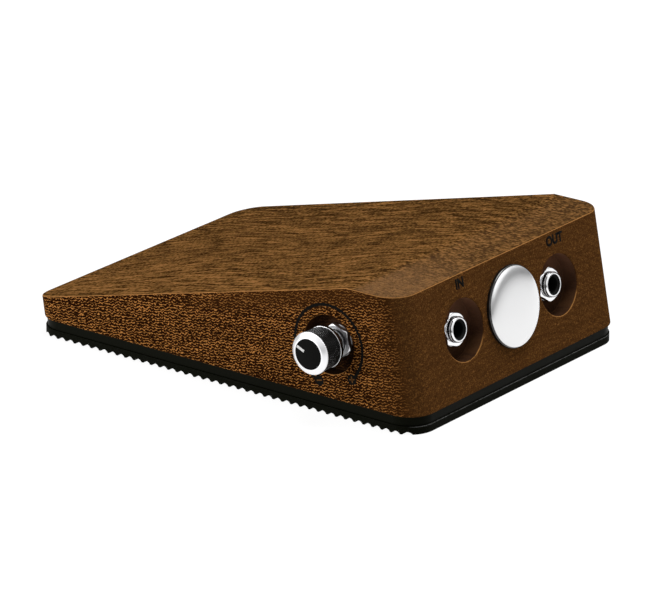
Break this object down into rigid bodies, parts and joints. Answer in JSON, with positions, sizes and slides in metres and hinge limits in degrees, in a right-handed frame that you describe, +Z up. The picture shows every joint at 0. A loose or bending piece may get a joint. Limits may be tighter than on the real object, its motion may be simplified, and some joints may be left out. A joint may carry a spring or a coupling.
{
  "type": "foot stomp box",
  "caption": "Wedge-shaped wooden foot stomp box on a ribbed rubber base, with a turning volume knob on its side and recessed plug jacks beside a round badge in its leaning end.",
  "frame": {"origin": "on the floor, under the middle of the base", "axes": "+Z up, +Y towards the jack end, +X towards the volume knob"},
  "size_m": [0.1531, 0.1932, 0.0544],
  "materials": {
    "wood": "oiled hardwood, open pored",
    "plate": "black, satin",
    "rubber": "black, ribbed, matte",
    "zinc_steel": "zinc plated",
    "chrome": "bright plated",
    "shaft_metal": "turned",
    "fibre": "pressed fibre",
    "spring_bronze": "rolled strip",
    "brass": "bare",
    "carbon": "carbon film",
    "black_grip": "black, knurled grip",
    "white_mark": "white paint",
    "badge_foil": "plain pale film",
    "badge_resin": "clear domed resin",
    "pad": "foam tape",
    "ceramic": "silvered ceramic",
    "red_wire": "wire cover",
    "black_wire": "wire cover",
    "blue_wire": "wire cover"
  },
  "bodies": {
    "box": {"wood_body": "wood", "base_plate": "plate", "rubber_mat": "rubber", "base_screws": "zinc_steel", "volume_housing": "zinc_steel", "input_jack_frame": "zinc_steel", "output_jack_frame": "zinc_steel", "input_jack_sleeve": "chrome", "input_jack_nut": "chrome", "input_jack_washer": "chrome", "output_jack_sleeve": "chrome", "output_jack_nut": "chrome", "output_jack_washer": "chrome", "volume_bushing": "chrome", "volume_nut": "chrome", "volume_washer": "chrome", "input_jack_insulators": "fibre", "output_jack_insulators": "fibre", "volume_wafer": "fibre", "input_jack_tip_spring": "spring_bronze", "output_jack_tip_spring": "spring_bronze", "input_jack_rivet": "brass", "output_jack_rivet": "brass", "volume_terminals": "brass", "pickup_disc": "brass", "volume_track": "carbon", "badge_backing": "badge_foil", "badge_dome": "badge_resin", "pickup_pad": "pad", "pickup_ceramic": "ceramic", "pickup_hot_wire": "red_wire", "jack_hot_wire": "red_wire", "pickup_ground_wire": "black_wire", "volume_ground_wire": "black_wire", "jack_ground_wire": "black_wire", "volume_output_wire": "blue_wire"},
    "knob": {"volume_shaft": "shaft_metal", "volume_wiper": "fibre", "knob_body": "black_grip", "knob_bezel": "chrome", "knob_cap": "black_grip", "knob_pointer": "white_mark", "knob_back_ring": "chrome"}
  },
  "joints": [
    {"name": "knob_turn", "type": "hinge", "parent": "box", "child": "knob", "pos_m": [0.0633, 0.054, 0.0292], "axis": [-1, 0, 0], "range_deg": [-97, 203]}
  ]
}
